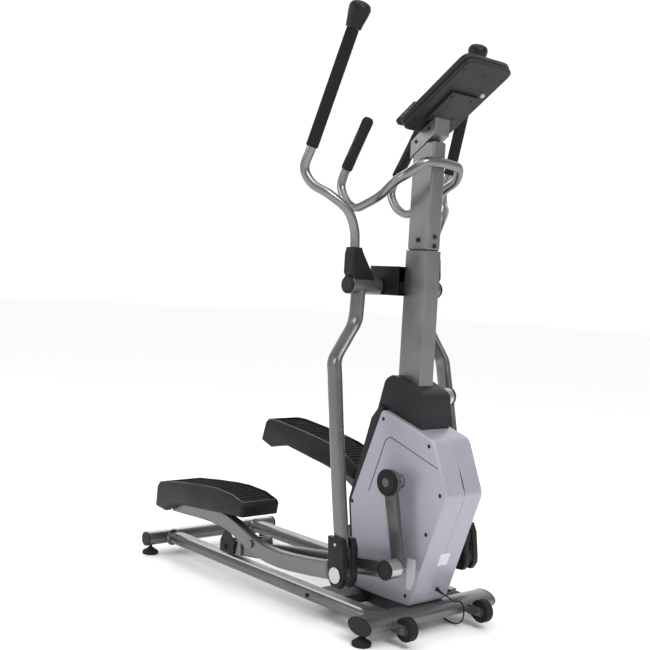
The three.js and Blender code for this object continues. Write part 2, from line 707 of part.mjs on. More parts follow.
const swingArm = cut(
  union(
    swingTube(0).subtract(drum(...eye, 28, -ARM.y - 7.3, -ARM.y + 7.3, 24)),
    drum(0, 0, 24, -PIVOT.half, -64, 24),
    ...cheeks(0),
  ),
  drum(0, 0, 8.3, -300, 0, 16),
  drum(...eye, 8.3, -300, 0, 16),
);
const shellSide = around([
  [-27, -16],
  [-14, -33],
  [14, -33],
  [27, -16],
  [29, 0],
  [25, 70],
  [15, 95],
  [-38, 95],
  [-36, 70],
  [-29, 0],
]);
const shellCut = [swingTube(4 * GAP), ...cheeks(2 * GAP), box(-400, 400, -ARM.y - 7.5, -ARM.y + 7.5, -1e3, 0)];
const jointCover = union(
  cut(solid(slab(shellSide, -233, -ARM.y - 7.5, 3)), ...shellCut),
  cut(solid(slab(shellSide, -ARM.y + 7.5, -177, 3)), ...shellCut),
  drum(...eye, 8, -225, -185, 16),
  drum(...eye, 22, -235, -232, 24),
);

// Upper handle, rising from the top of the hub.
const handleY = -158;
const handleLine = [
  [-188, handleY, PIVOT.z + 25],
  [-188, handleY, 960],
  [-187, handleY, 1010],
  [-185, -166, 1055],
  [-187, -192, 1101],
  [-213, -240, 1141],
  [-246, -272, 1167],
  [-261, -287, 1204],
  [-236, -288, 1262],
  [-190, -280, 1384],
  [-132, -269.8, 1538],
].map(([x, y, z]) => v3(x - PIVOT.x, y, z - PIVOT.z));
const handle = tube(handleLine, 13, 30, 10);
const gripA = v3(-236.4, -288, 1261).sub(v3(PIVOT.x, 0, PIVOT.z));
const gripB = v3(-108, -265.6, 1602).sub(v3(PIVOT.x, 0, PIVOT.z));
const gripN = gripA.distanceTo(gripB);
const grip = turned(
  [
    [0, gripN - 60],
    [14.2, gripN - 60],
    [14.2, 0],
    [16, 0],
    [17, 3],
    [17, gripN - 46],
    [21, gripN - 45],
    [23, gripN - 30],
    [28, gripN - 8],
    [29, gripN + 4],
    [25, gripN + 15],
    [14, gripN + 22],
    [0, gripN + 24],
  ],
  gripA,
  gripB,
  16,
);
const bootSide = [
  [-171, 14],
  [-172, 25],
  [-177, 32],
  [-177, 84],
  [-172, 101],
  [-145, 101],
  [-139, 88],
  [-96, 26],
  [-92, 14],
];
const boot = cut(
  solid(slab(bootSide, -20, 20, 4).rotateZ(Math.PI / 2)),
  tube([v3(0, handleY, 20), v3(0, handleY, 60), v3(1, handleY, 106)], 14.2, 6, 12),
  drum(0, 0, 24.3, -PIVOT.half - 20, 0, 24),
  tube(handleLine.slice(0, 5), 14.2, 16, 12),
);

// ---- lead for the console's adapter -------------------------------------------------------------
const LEAD = { exit: [20.8, 18, 112], out: [0.945, 0, -0.326], coil: [-95, 110], plug: [-166.2, 92] };
const leadAt = (d) => v3(...LEAD.exit.map((c, i) => c + LEAD.out[i] * d));
const gland = [[0, 0], [6, 0], [6, 2], [4, 3], [2.8, 22], [0, 22]];
piece("lead_gland", turned(gland, leadAt(0.3), leadAt(1), 12), "rubber");
const leadLine = [
  leadAt(22.6),
  leadAt(30),
  v3(54, 30, 96),
  v3(53, 48, 84),
  v3(46, 68, 78),
  v3(46, 88, 73),
  v3(49, 97, 56),
  v3(47, 101, 32),
  v3(36, 103, 13),
  v3(12, 105, 3.2),
  v3(-20, 108, 2.3),
  v3(LEAD.coil[0] + 30.6, 110, 2.3),
];
piece("lead", tube(leadLine, CORD_R, 60, 8), "rubber");
const coil = [[13.2, 0.4], [30.2, 0.4], [30.2, 18], [13.2, 18], [13.2, 0.4]];
const coilMiddle = v3(LEAD.coil[0], LEAD.coil[1], 0);
piece("lead_coil", turned(coil, coilMiddle, v3(...LEAD.coil, 1), 20), "rubber");
const [plugX, plugY] = LEAD.plug;
piece("lead_plug", box(plugX, plugX + 40.7, plugY, plugY + 36, 0.3, 26), "rubber");

for (const side of SIDES) {
  const { pose } = side;
  const axle = [CRANK.x, CRANK.z];
  const pivot = [PIVOT.x, PIVOT.z];
  hang("crank", crank, "steel", side, pose.crank, axle);
  hang("hub_cap", hubCap, "black", side, pose.crank, axle);
  hang("connecting_rod", rod, "frame", side, pose.phi, pose.R);
  hang("roller", roller, "rubber", side, pose.phi, pose.R);
  hang("pedal_arm", pedalArm, "frame", side, pose.psi - REST.psi, pose.A);
  hang("pedal", pedal, "black", side, pose.psi - REST.psi, pose.A);
  hang("swing_arm", swingArm, "frame", side, pose.swing - REST.swing, pivot);
  hang("joint_cover", jointCover, "black", side, pose.swing - REST.swing, pivot);
  hang("handle", handle, "chrome", side, pose.swing - REST.swing, pivot);
  hang("handle_boot", boot, "black", side, pose.swing - REST.swing, pivot);
  hang("grip", grip, "foam", side, pose.swing - REST.swing, pivot);
}

export default root;
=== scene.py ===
"""Looks of the elliptical trainer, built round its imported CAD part.

Places are millimetres with X = 0 at the front crossbar, as in the part's own layout, and at() turns them into
the frame's metres. Profiles, radii and thicknesses are metres.
"""

import json
import math

import bmesh
import bpy
from mathutils import Matrix, Vector


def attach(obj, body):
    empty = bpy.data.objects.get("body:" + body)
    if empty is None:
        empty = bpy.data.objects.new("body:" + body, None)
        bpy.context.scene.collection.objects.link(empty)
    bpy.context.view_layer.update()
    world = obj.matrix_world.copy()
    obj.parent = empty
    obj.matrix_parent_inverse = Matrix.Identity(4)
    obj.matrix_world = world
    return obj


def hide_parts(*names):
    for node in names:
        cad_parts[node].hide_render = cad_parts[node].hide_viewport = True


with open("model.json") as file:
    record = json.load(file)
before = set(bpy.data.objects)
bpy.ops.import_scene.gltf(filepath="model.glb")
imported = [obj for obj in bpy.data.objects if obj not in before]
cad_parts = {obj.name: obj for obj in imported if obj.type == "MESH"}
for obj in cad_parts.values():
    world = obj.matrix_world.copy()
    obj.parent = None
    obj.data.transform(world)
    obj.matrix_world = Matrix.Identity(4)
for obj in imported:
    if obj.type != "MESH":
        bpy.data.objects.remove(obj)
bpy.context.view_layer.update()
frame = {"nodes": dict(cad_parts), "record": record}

# ---- measures ------------------------------------------------------------------------------------
SHIFT = 444.25  # the front crossbar's X in the part's frame
SIDES = (("right", -1), ("left", 1))  # each side's name, and the sign of its Y
CONSOLE = {"x": -108, "z": 1325, "slope": math.radians(34.4)}
LEAD_LENGTH = 1.8
LEAD_D = 0.004
PIVOT = (-188, 904)  # the swing arms' axle
CRANK = (-52, 393)  # the crank's axle
THROW = 219  # from the crank's axle to its pin
CRANK_REST = 12.8  # degrees by which the right crank arm stands forward of straight down
ROD_LENGTH, ROLLER_Z = 645.5, 95  # from the roller to the crank pin, and the roller's height
ROD_PIVOT = (163.3, 26.9)  # the pedal arm's pivot on the rod: along it from the roller, and above it
PEDAL_REACH, SWING_REACH = 376.4, 758.2  # the lower joint's distance from that pivot, and from the axle
ARM_Y = 205  # the middle of each swing arm's lower end
HOUSE_HALF = 71.8  # the Y of the housing covers' outer faces
RAIL_Y = 169  # the middle of each rail
WHEEL = (73, 146, 48)  # the left transport wheel's centre


def linkage(angle):
    """One side's joints as (X, Z) and its links' turns; angle is degrees forward of straight down."""
    t = math.radians(angle)
    pin = (CRANK[0] + THROW * math.sin(t), CRANK[1] - THROW * math.cos(t))
    rod = math.asin((pin[1] - ROLLER_Z) / ROD_LENGTH)
    roller = (pin[0] - ROD_LENGTH * math.cos(rod), ROLLER_Z)
    along, over = ROD_PIVOT
    x = roller[0] + along * math.cos(rod) - over * math.sin(rod)
    z = roller[1] + along * math.sin(rod) + over * math.cos(rod)
    dx, dz = x - PIVOT[0], z - PIVOT[1]
    d = math.hypot(dx, dz)
    reach = (SWING_REACH**2 - PEDAL_REACH**2 + d * d) / (2 * d)
    off = math.sqrt(SWING_REACH**2 - reach**2)
    joint = (PIVOT[0] + (dx * reach - dz * off) / d, PIVOT[1] + (dz * reach + dx * off) / d)
    turns = {
        "rod": rod,
        "pedal_arm": math.atan2(joint[1] - z, joint[0] - x),
        "swing_arm": math.atan2(joint[0] - PIVOT[0], PIVOT[1] - joint[1]),
    }
    return {"pin": pin, "roller": roller, "joint": joint, "axle": PIVOT, "turns": turns}


RIGHT, LEFT = linkage(CRANK_REST), linkage(CRANK_REST + 180)

# How the left side's pieces stand against the mirrored right side: a point's two places, and the turn
# from X to Z.
PLACES = {"crankset": (CRANK, CRANK, 180.0), "root": ((0, 0), (0, 0), 0.0)}
for link, point in (("swing_arm", "axle"), ("pedal_arm", "joint"), ("rod", "roller")):
    turn = math.degrees(LEFT["turns"][link] - RIGHT["turns"][link])
    PLACES[link] = (RIGHT[point], LEFT[point], turn)


def at(x, y, z):
    return Vector(((x + SHIFT) / 1000, y / 1000, z / 1000))


def on_right(point, y):
    """A joint of the right side's linkage, at the given Y."""
    x, z = RIGHT[point]
    return at(x, y, z)


def side_matrix(body, tag):
    """Takes a point of the right side at rest to the same point of the side named by tag."""
    if tag == "right":
        return Matrix.Identity(4)
    a, b, turn = PLACES[body]
    mirror = Matrix.Scale(-1, 4, (0, 1, 0))
    spin = Matrix.Rotation(math.radians(-turn), 4, "Y")
    return Matrix.Translation(at(b[0], 0, b[1])) @ spin @ Matrix.Translation(-at(a[0], 0, a[1])) @ mirror


def body_name(body, tag):
    return body if body in ("root", "crankset") else f"{body}_{tag}"


def on_console(s, y, h):
    """A point s up the console's slope from its lower edge, and h over its back face."""
    a = CONSOLE["slope"]
    x = CONSOLE["x"] + s * math.cos(a) - h * math.sin(a)
    return at(x, y, CONSOLE["z"] + s * math.sin(a) + h * math.cos(a))


# ---- materials -----------------------------------------------------------------------------------
def material(name, color, rough, metal, grain=700, bump=0.1, mottle=0.06, coat=0.0, pebble=0, streak=None):
    """A procedural finish: fine grain or pebbles in relief, and soft patches of tone and gloss."""
    m = bpy.data.materials.new(name)
    m.use_nodes = True
    n, link = m.node_tree.nodes, m.node_tree.links
    shader = n["Principled BSDF"]
    shader.inputs["Metallic"].default_value = metal
    shader.inputs["Coat Weight"].default_value = coat
    shader.inputs["Specular IOR Level"].default_value = 0.5 if metal or coat else 0.24
    shader.inputs["Coat Roughness"].default_value = 0.25
    coords = n.new("ShaderNodeTexCoord")
    mapping = n.new("ShaderNodeMapping")
    mapping.inputs["Scale"].default_value = streak or (1, 1, 1)
    link.new(coords.outputs["Object"], mapping.inputs["Vector"])

    def noise(scale, detail, vector):
        t = n.new("ShaderNodeTexNoise")
        t.inputs["Scale"].default_value = scale
        t.inputs["Detail"].default_value = detail
        link.new(vector, t.inputs["Vector"])
        return t.outputs["Fac"]

    def remap(value, low, high, start=0.3, end=0.7):
        r = n.new("ShaderNodeMapRange")
        for key, v in (("From Min", start), ("From Max", end), ("To Min", low), ("To Max", high)):
            r.inputs[key].default_value = v
        link.new(value, r.inputs["Value"])
        return r.outputs["Result"]

    patches = noise(14, 4, coords.outputs["Object"])
    fine = noise(grain, 3, mapping.outputs["Vector"])
    tone = n.new("ShaderNodeHueSaturation")
    tone.inputs["Color"].default_value = (*color, 1)
    blend = n.new("ShaderNodeMath")
    blend.operation = "ADD"
    link.new(remap(patches, 1 - mottle, 1 + mottle), blend.inputs[0])
    link.new(remap(fine, -mottle, mottle), blend.inputs[1])
    link.new(blend.outputs[0], tone.inputs["Value"])
    link.new(tone.outputs["Color"], shader.inputs["Base Color"])
    link.new(remap(patches, max(rough - 0.07, 0.04), min(rough + 0.09, 1)), shader.inputs["Roughness"])
    relief = n.new("ShaderNodeBump")
    relief.inputs["Strength"].default_value = bump
    relief.inputs["Distance"].default_value = 0.0006
    if pebble:
        cells = n.new("ShaderNodeTexVoronoi")
        cells.inputs["Scale"].default_value = pebble
        link.new(coords.outputs["Object"], cells.inputs["Vector"])
        link.new(cells.outputs["Distance"], relief.inputs["Height"])
    else:
        link.new(fine, relief.inputs["Height"])
    link.new(relief.outputs["Normal"], shader.inputs["Normal"])
    return m


MATS = {
    "frame_paint": material("frame_paint", (0.15, 0.153, 0.15), 0.3, 0.8, 1500, 0.06, 0.07, coat=0.3),
    "column_paint": material("column_paint", (0.21, 0.213, 0.208), 0.34, 0.8, 1500, 0.06, 0.06, coat=0.3),
    "bare_steel": material("bare_steel", (0.5, 0.5, 0.49), 0.3, 1.0, 260, 0.12, 0.05, streak=(1, 12, 1)),
    "chrome": material("chrome", (0.22, 0.223, 0.218), 0.27, 0.9, 1200, 0.03, 0.04),
    "black_plastic": material(
        "black_plastic", (0.008, 0.008, 0.0088), 0.42, 0.0, 900, 0.25, 0.12, pebble=1500
    ),
    "charcoal_plastic": material(
        "charcoal_plastic", (0.013, 0.0138, 0.0148), 0.42, 0.0, 900, 0.3, 0.1, pebble=1300
    ),
    "silver_plastic": material("silver_plastic", (0.36, 0.36, 0.42), 0.38, 0.35, 1600, 0.05, 0.03, coat=0.15),
    "grey_plastic": material("grey_plastic", (0.4, 0.4, 0.385), 0.5, 0.0, 900, 0.25, 0.03, pebble=1300),
    "rubber": material("rubber", (0.012, 0.012, 0.012), 0.72, 0.0, 500, 0.3, 0.15),
    "foam": material("foam", (0.012, 0.012, 0.0125), 0.92, 0.0, 1400, 0.9, 0.25, pebble=900),
    "dark_paint": material("dark_paint", (0.03, 0.031, 0.032), 0.42, 0.3, 1500, 0.08, 0.08),
    "tread": material("tread", (0.009, 0.009, 0.0095), 0.85, 0.0, 300, 0.9, 0.12, pebble=420),
    "glass": material("glass", (0.01, 0.014, 0.012), 0.08, 0.0, 900, 0.01, 0.05, coat=1.0),
    "display": material("display", (0.16, 0.19, 0.15), 0.3, 0.0, 500, 0.05, 0.04),
    "pale_trim": material("pale_trim", (0.5, 0.5, 0.49), 0.4, 0.1, 900, 0.1, 0.03),
    "blank_label": material("blank_label", (0.62, 0.62, 0.64), 0.45, 0.0, 900, 0.05, 0.03),
}


# ---- geometry helpers ----------------------------------------------------------------------------
def add(name, mesh, mat, body, replaced=(), smooth=32, bevel=0.0):
    obj = bpy.data.objects.new(name, mesh)
    bpy.context.scene.collection.objects.link(obj)
    mesh.materials.clear()
    mesh.materials.append(MATS[mat])
    mesh.shade_smooth()
    mesh.set_sharp_from_angle(angle=math.radians(smooth))
    if bevel:
        b = obj.modifiers.new("soft_edges", "BEVEL")
        b.width, b.segments, b.limit_method = bevel, 2, "ANGLE"
        b.angle_limit = math.radians(smooth)
        b.harden_normals = True
    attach(obj, body)
    if replaced:
        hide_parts(*replaced)
    return obj


def finished(bm, matrix=None):
    if matrix is not None:
        bm.transform(matrix)
        if matrix.determinant() < 0:
            bmesh.ops.reverse_faces(bm, faces=bm.faces)
    mesh = bpy.data.meshes.new("m")
    bm.to_mesh(mesh)
    bm.free()
    return mesh


def cad_shape(node):
    """The CAD node's own shape, its flat faces made whole."""
    bm = bmesh.new()
    bm.from_mesh(frame["nodes"][node].data)
    bmesh.ops.remove_doubles(bm, verts=bm.verts, dist=1e-6)
    bmesh.ops.dissolve_limit(bm, angle_limit=math.radians(0.6), verts=bm.verts, edges=bm.edges)
    return finished(bm)


def circle(sides):
    return [(math.cos(2 * math.pi * k / sides), math.sin(2 * math.pi * k / sides)) for k in range(sides)]


def walls(bm, rings):
    """Faces between neighbouring rings of vertices, and a cap on the first and last."""
    for low, high in zip(rings, rings[1:]):
        for k in range(len(low)):
            j = (k + 1) % len(low)
            bm.faces.new((low[k], low[j], high[j], high[k]))
    bm.faces.new(rings[0][::-1])
    bm.faces.new(rings[-1])


def solid_of(rings):
    """A closed body through rings of points."""
    bm = bmesh.new()
    walls(bm, [[bm.verts.new(p) for p in ring] for ring in rings])
    bmesh.ops.recalc_face_normals(bm, faces=bm.faces)
    return bm


def lathe(profile, a, b, sides=48):
    """A closed turned body: profile is [(radius, height)] in metres, height measured from a towards b."""
    bm = bmesh.new()
    turn = (b - a).to_track_quat("Z", "Y").to_matrix().to_4x4()
    rings = []
    for r, h in profile:
        if r == 0:
            rings.append([bm.verts.new((0, 0, h))])
            continue
        rings.append([bm.verts.new((r * c, r * s, h)) for c, s in circle(sides)])
    for low, high in zip(rings, rings[1:]):
        for k in range(sides):
            j = (k + 1) % sides
            if len(low) == 1 and len(high) == 1:
                continue
            if len(low) == 1:
                bm.faces.new((low[0], high[j], high[k]))
            elif len(high) == 1:
                bm.faces.new((low[k], low[j], high[0]))
            else:
                bm.faces.new((low[k], low[j], high[j], high[k]))
    bm.transform(Matrix.Translation(a) @ turn)
    bmesh.ops.recalc_face_normals(bm, faces=bm.faces)
    return bm


def disc(a, b, r, sides=40, dome=0.0):
    """A short cylinder from a to b with a chamfered outer rim."""
    n, c = (b - a).length, min(r * 0.12, 0.001)
    profile = [(0, 0), (r, 0), (r, n - c), (r - c, n), (r * 0.5, n + dome * 0.7), (0, n + dome)]
    return lathe(profile, a, b, sides)


def smooth_line(points, step=0.004):
    """Points along a centripetal spline through the given ones, about one step apart."""
    pts = [Vector(p) for p in points]
    ends = [2 * pts[0] - pts[1], *pts, 2 * pts[-1] - pts[-2]]
    out = []
    for i in range(1, len(ends) - 2):
        p0, p1, p2, p3 = ends[i - 1 : i + 3]
        t = [0.0]
        for a, b in ((p0, p1), (p1, p2), (p2, p3)):
            t.append(t[-1] + max((b - a).length, 1e-6) ** 0.5)
        count = max(2, round((p2 - p1).length / step))
        for k in range(count):
            u = t[1] + (t[2] - t[1]) * k / count
            a1 = p0.lerp(p1, (u - t[0]) / (t[1] - t[0]))
            a2 = p1.lerp(p2, (u - t[1]) / (t[2] - t[1]))
            a3 = p2.lerp(p3, (u - t[2]) / (t[3] - t[2]))
            b1 = a1.lerp(a2, (u - t[0]) / (t[2] - t[0]))
            b2 = a2.lerp(a3, (u - t[1]) / (t[3] - t[1]))
            out.append(b1.lerp(b2, (u - t[1]) / (t[2] - t[1])))
    return [*out, pts[-1]]


def pipe(line, r, sides=28):
    """A closed round tube along the line, its rings carried along without twist."""
    bm = bmesh.new()
    direction = (line[1] - line[0]).normalized()
    across = direction.orthogonal().normalized()
    rings = []
    for i, p in enumerate(line):
        new = (line[min(i + 1, len(line) - 1)] - line[max(i - 1, 0)]).normalized()
        across = (direction.rotation_difference(new) @ across).normalized()
        direction = new
        other = direction.cross(across)
        rings.append([bm.verts.new(p + r * (c * across + s * other)) for c, s in circle(sides)])
    walls(bm, rings)
    return bm


def block(lo, hi):
    bm = bmesh.new()
    bmesh.ops.create_cube(bm, size=1)
    mid, size = (lo + hi) / 2, hi - lo
    bm.transform(Matrix.Translation(mid) @ Matrix.Diagonal((*size, 1)))
    return bm


def both(name, body, make, mat, replaced=None, **kw):
    """Adds make()'s right-side shape to both sides."""
    out = []
    for tag in ("right", "left"):
        mesh = finished(make(), side_matrix(body, tag))
        nodes = [f"{r}_{tag}" for r in replaced or ()]
        out.append(add(f"{name}_{tag}", mesh, mat, body_name(body, tag), nodes, **kw))
    return out


# ---- camera --------------------------------------------------------------------------------------
CAMERA = {"at": (2.23685, -2.0208, 0.8853), "yaw": 49.9, "pitch": 0.9, "roll": 3.36, "lens": 56.0}
SENSOR, SHIFT_X, SHIFT_Y = 36, 0.0454, -0.0317
cam = bpy.data.objects.new("camera", bpy.data.cameras.new("camera"))
bpy.context.scene.collection.objects.link(cam)
bpy.context.scene.camera = cam
yaw, pitch, roll = (math.radians(CAMERA[k]) for k in ("yaw", "pitch", "roll"))
back = Vector((math.sin(yaw) * math.cos(pitch), -math.cos(yaw) * math.cos(pitch), math.sin(pitch)))
right = (-back).cross(Vector((0, 0, 1))).normalized()
up = right.cross(-back)
right, up = math.cos(roll) * right + math.sin(roll) * up, math.cos(roll) * up - math.sin(roll) * right
cam.matrix_world = Matrix.Translation(Vector(CAMERA["at"])) @ Matrix((right, up, back)).transposed().to_4x4()
cam.data.sensor_width, cam.data.lens = SENSOR, CAMERA["lens"]
cam.data.shift_x, cam.data.shift_y = SHIFT_X, SHIFT_Y

# ---- adapter lead --------------------------------------------------------------------------------
EXIT = at(42.2, 18, 104.6)
COIL_AT, COIL_TURNS, COIL_LAYER, COIL_PITCH = (-95, 110), 11, 3, 4.15
PLUG_FACE = at(-125.8, 117, 13)
lead_points = [
    EXIT,
    at(49, 22, 101),
    at(54, 30, 96),
    at(53, 48, 84),
    at(46, 68, 78),
    at(46, 88, 74),
    at(49.4, 97, 57),
    at(47.4, 101, 32),
    at(36, 103, 13),
    at(12, 105, 3.6),
    at(-20, 112, 2.3),
    at(-50, 126, 2.3),
    at(-75, 134.5, 2.3),
]


def lead_line(inner):
    """The lead's whole line: over the front crossbar, then layers of spiral turns, then into the adapter."""
    out = list(lead_points)
    steps = COIL_TURNS * 20
    for k in range(steps + 1):
        turn = k / 20
        layer = min(int(turn / COIL_LAYER), COIL_TURNS // COIL_LAYER)
        part = turn - layer * COIL_LAYER
        r = inner + COIL_PITCH * (COIL_LAYER - part if layer % 2 == 0 else part)
        z = 2.3 + COIL_PITCH * (layer - max(0.0, 1 - part / 0.3) * (layer > 0))
        a = 2 * math.pi * (turn + 0.25)
        out.append(at(COIL_AT[0] + r * math.cos(a), COIL_AT[1] + r * math.sin(a), z))
    return smooth_line([*out, out[-1].lerp(PLUG_FACE, 0.55) + Vector((0, 0.003, 0)), PLUG_FACE])


def measure(line):
    return sum((b - a).length for a, b in zip(line, line[1:]))


# The coil's inner radius in millimetres: its range is halved until the line has the lead's length.
low, high = 8.0, 24.0
for _ in range(30):
    mid = (low + high) / 2
    low, high = (mid, high) if measure(lead_line(mid)) < LEAD_LENGTH else (low, mid)
lead_path = lead_line(low)
lead_mesh = finished(pipe(lead_path, LEAD_D / 2, 12))
lead = add("lead_cord", lead_mesh, "rubber", "root", ["lead", "lead_coil"], smooth=80)
plug_bm = block(at(-166, 92.2, 0.4), at(-125.7, 127.8, 25.8))
plug = add("lead_adapter", finished(plug_bm), "black_plastic", "root", ["lead_plug"], bevel=0.002)
relief_base = at(21.1, 18, 111.9)
relief_axis = (EXIT - relief_base).normalized()
relief_profile = [(0, 0), (0.006, 0), (0.006, 0.0018), (0.0045, 0.003)]
relief_profile += [(0.0042 - 0.0002 * k - (0.0005 if k % 2 else 0), 0.0045 + 0.0024 * k) for k in range(7)]
relief_profile += [(0.0026, 0.0222), (0, 0.0222)]
relief = lathe(relief_profile, relief_base, relief_base + relief_axis, 24)
gland = add("lead_relief", finished(relief), "rubber", "root", ["lead_gland"])

# ---- CAD shapes with softened edges ---------------------------------------------------------------
record = frame["record"]
slot_of_node = {p["node"]: p["material_slot"] for p in record["subparts"]}
REBUILT = {"lead", "lead_coil", "lead_plug", "lead_gland", "pulse_bar"}
PAIRED = ("swing_arm", "handle", "grip", "pulse_grip", "pedal", "transport_wheel", "roller")
REBUILT |= {f"{name}_{tag}" for name in PAIRED for tag, _ in SIDES}
BEVELS = {"housing_cover": 0.003, "console": 0.0025, "shroud": 0.003, "joint_cover": 0.002, "mast": 0.006}
BEVELS |= {"column": 0.0015, "axle_cover": 0.0025}
PLAIN_BEVEL = 0.0009
FINISH = {"crank_right": "frame_paint", "crank_left": "frame_paint", "console_face": "charcoal_plastic"}
FINISH |= {"console_back": "charcoal_plastic", "base_beam": "dark_paint"}
for body, nodes in record["behaviour"]["bodies"].items():
    for node in nodes:
        if node not in REBUILT:
            width = next((w for k, w in BEVELS.items() if node.startswith(k)), PLAIN_BEVEL)
            mat = FINISH.get(node, slot_of_node[node])
            add("v_" + node, cad_shape(node), mat, body, [node], bevel=width)

# ---- fixed hand bar ------------------------------------------------------------------------------
half_bar = [
    (-33, 30, 1240), (-36, 66, 1236), (-66, 94, 1206), (-107, 100, 1185), (-160, 100, 1150),
    (-212, 100, 1129), (-252, 100, 1119), (-294, 100, 1138), (-319, 100, 1180), (-309, 100.5, 1213),
    (-300, 101, 1228),
    (-270, 101.7, 1277.4), (-228, 102.8, 1346.6),
]  # fmt: skip
bar = [at(x, -y, z) for x, y, z in reversed(half_bar)] + [at(-32.6, 0, 1242)] + [at(*p) for p in half_bar]
add("pulse_tube", finished(pipe(smooth_line(bar, 0.006), 0.0125)), "chrome", "root", ["pulse_bar"], smooth=60)


PULSE_A, PULSE_B = at(-300, -101, 1228), at(-218, -103, 1363)
PULSE_N = (PULSE_B - PULSE_A).length


def pulse_grip():
    n = PULSE_N
    rim = [(0.0134, 0), (0.0152, 0), (0.016, 0.0015), (0.016, n * 0.2)]
    rim += [(0.0152, n * 0.2 + 0.001), (0.0152, n * 0.78), (0.016, n * 0.78 + 0.001), (0.016, n - 0.012)]
    rim += [(0.0145, n - 0.006), (0.0105, n - 0.0015), (0.004, n - 0.0002), (0, n)]
    return lathe([(0, 0.003), (0.0134, 0.003), *rim], PULSE_A, PULSE_B)


both("pulse_sleeve", "root", pulse_grip, "rubber", ["pulse_grip"])


def pulse_plate(low, high):
    """A sensor band between two shares of the grip's length."""
    low, high = PULSE_N * low, PULSE_N * high
    profile = [(0.0148, low), (0.0157, low), (0.0157, high), (0.0148, high), (0.0148, low)]
    return lathe(profile, PULSE_A, PULSE_B)


both("pulse_plate_low", "root", lambda: pulse_plate(0.22, 0.475), "black_plastic")
both("pulse_plate_high", "root", lambda: pulse_plate(0.505, 0.76), "black_plastic")

# ---- swing arms ----------------------------------------------------------------------------------
swing_line = [
    (-188, -135, 893), (-189, -135, 850), (-192, -137, 805), (-192, -170, 753), (-190, -203, 702),
    (-184, -205, 660), (-146, -205, 389), (-121, -205, 234), (-114.7, -205, 190),
]  # fmt: skip
EYE = on_right("joint", -ARM_Y)


def swing_tube():
    """A flat-oval tube, wide fore and aft, bent out sideways under the hub."""
    line = smooth_line([at(*p) for p in swing_line], 0.008)
    half_w, half_t = 0.023, 0.0125
    rings = []
    for i, p in enumerate(line):
        d = (line[min(i + 1, len(line) - 1)] - line[max(i - 1, 0)]).normalized()
        wide = Vector((d.z, 0, -d.x)).normalized()
        ring = []
        for c, q in circle(40):
            w = half_w * math.copysign(abs(c) ** 0.62, c)
            t = half_t * math.copysign(abs(q) ** 0.78, q)
            ring.append(p + wide * w + Vector((0, t, 0)))
        rings.append(ring)
    return solid_of(rings)


def hub():
    inner, outer = on_right("axle", -64), on_right("axle", -171)
    n = (outer - inner).length
    bore, rim, full, slope = 0.0083, 0.0225, 0.024, 0.0015
    profile = [(bore, 0), (rim, 0), (full, slope), (full, n - slope), (rim, n), (bore, n), (bore, 0)]
    return lathe(profile, inner, outer)


def swing_fork():
    """The two cheeks that hold the pedal arm's eye."""
    outline = [(-23, -8), (-15, -21), (0, -24), (15, -21), (23, -8), (16, 70), (-31, 70)]
    thick = 5.2
    parts = []
    for low in (-12.5, 7.3):
        faces = (low, low + thick)
        parts.append(solid_of([[EYE + Vector((x, y, z)) / 1000 for x, z in outline] for y in faces]))
    return joined(parts)


def joined(parts):
    whole = bmesh.new()
    for part in parts:
        mesh = bpy.data.meshes.new("part")
        part.to_mesh(mesh)
        part.free()
        whole.from_mesh(mesh)
        bpy.data.meshes.remove(mesh)
    return whole


both("swing_tube", "swing_arm", swing_tube, "frame_paint", ["swing_arm"], smooth=60)
both("swing_hub", "swing_arm", hub, "frame_paint")
both("swing_fork", "swing_arm", swing_fork, "frame_paint", bevel=0.0006)

# ---- swinging handles ----------------------------------------------------------------------------
handle_line = [
    (-188, -158, 929), (-188, -158, 960), (-187, -158, 1010), (-185, -166, 1055), (-187, -192, 1101),
    (-213, -240, 1141), (-246, -272, 1167), (-261, -287, 1204), (-236, -288, 1262), (-190, -280, 1384),
    (-132, -269.8, 1538),
]  # fmt: skip
both(
    "handle_tube",
    "swing_arm",
    lambda: pipe(smooth_line([at(*p) for p in handle_line], 0.006), 0.013),
    "chrome",
    ["handle"],
    smooth=60,
)
GRIP_A, GRIP_B = at(-236.4, -288, 1261), at(-108, -265.6, 1602)
GRIP_N = (GRIP_B - GRIP_A).length


def grip():
    profile = [(0, 0.004), (0.0142, 0.004), (0.0142, 0), (0.0155, 0)]
    steps = 60
    for k in range(steps + 1):
        h = 0.002 + (GRIP_N - 0.05) * k / steps
        profile.append((0.0167 + 0.0002 * math.sin(k * 2.1) + (0.0001 if k % 2 else 0), h))
    return lathe([*profile, (0.0145, GRIP_N - 0.0475), (0, GRIP_N - 0.0475)], GRIP_A, GRIP_B)


for grip_obj in both("foam_grip", "swing_arm", grip, "foam", ["grip"], smooth=50):
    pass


def bulb():
    n = GRIP_N
    profile = [(0, -0.047), (0.0205, -0.047), (0.0212, -0.044), (0.0226, -0.034), (0.025, -0.021)]
    profile += [(0.0274, -0.009), (0.0286, 0), (0.0289, 0.006), (0.0278, 0.011), (0.0247, 0.0162)]
    profile += [(0.0195, 0.0202), (0.01, 0.0232), (0, 0.0238)]
    return lathe([(r, n + h) for r, h in profile], GRIP_A, GRIP_B)


both("grip_bulb", "swing_arm", bulb, "black_plastic")

# ---- pedals --------------------------------------------------------------------------------------
TOP = [(-957, 226), (-946, 241), (-905, 251), (-800, 264), (-700, 274), (-640, 277), (-560, 273)]
TOP += [(-508, 259), (-500, 248)]


def top_height(x):
    """The pedal's top line at x."""
    for (x0, z0), (x1, z1) in zip(TOP, TOP[1:]):
        if x0 <= x <= x1:
            return z0 + (z1 - z0) * (x - x0) / (x1 - x0)
    return TOP[-1][1]


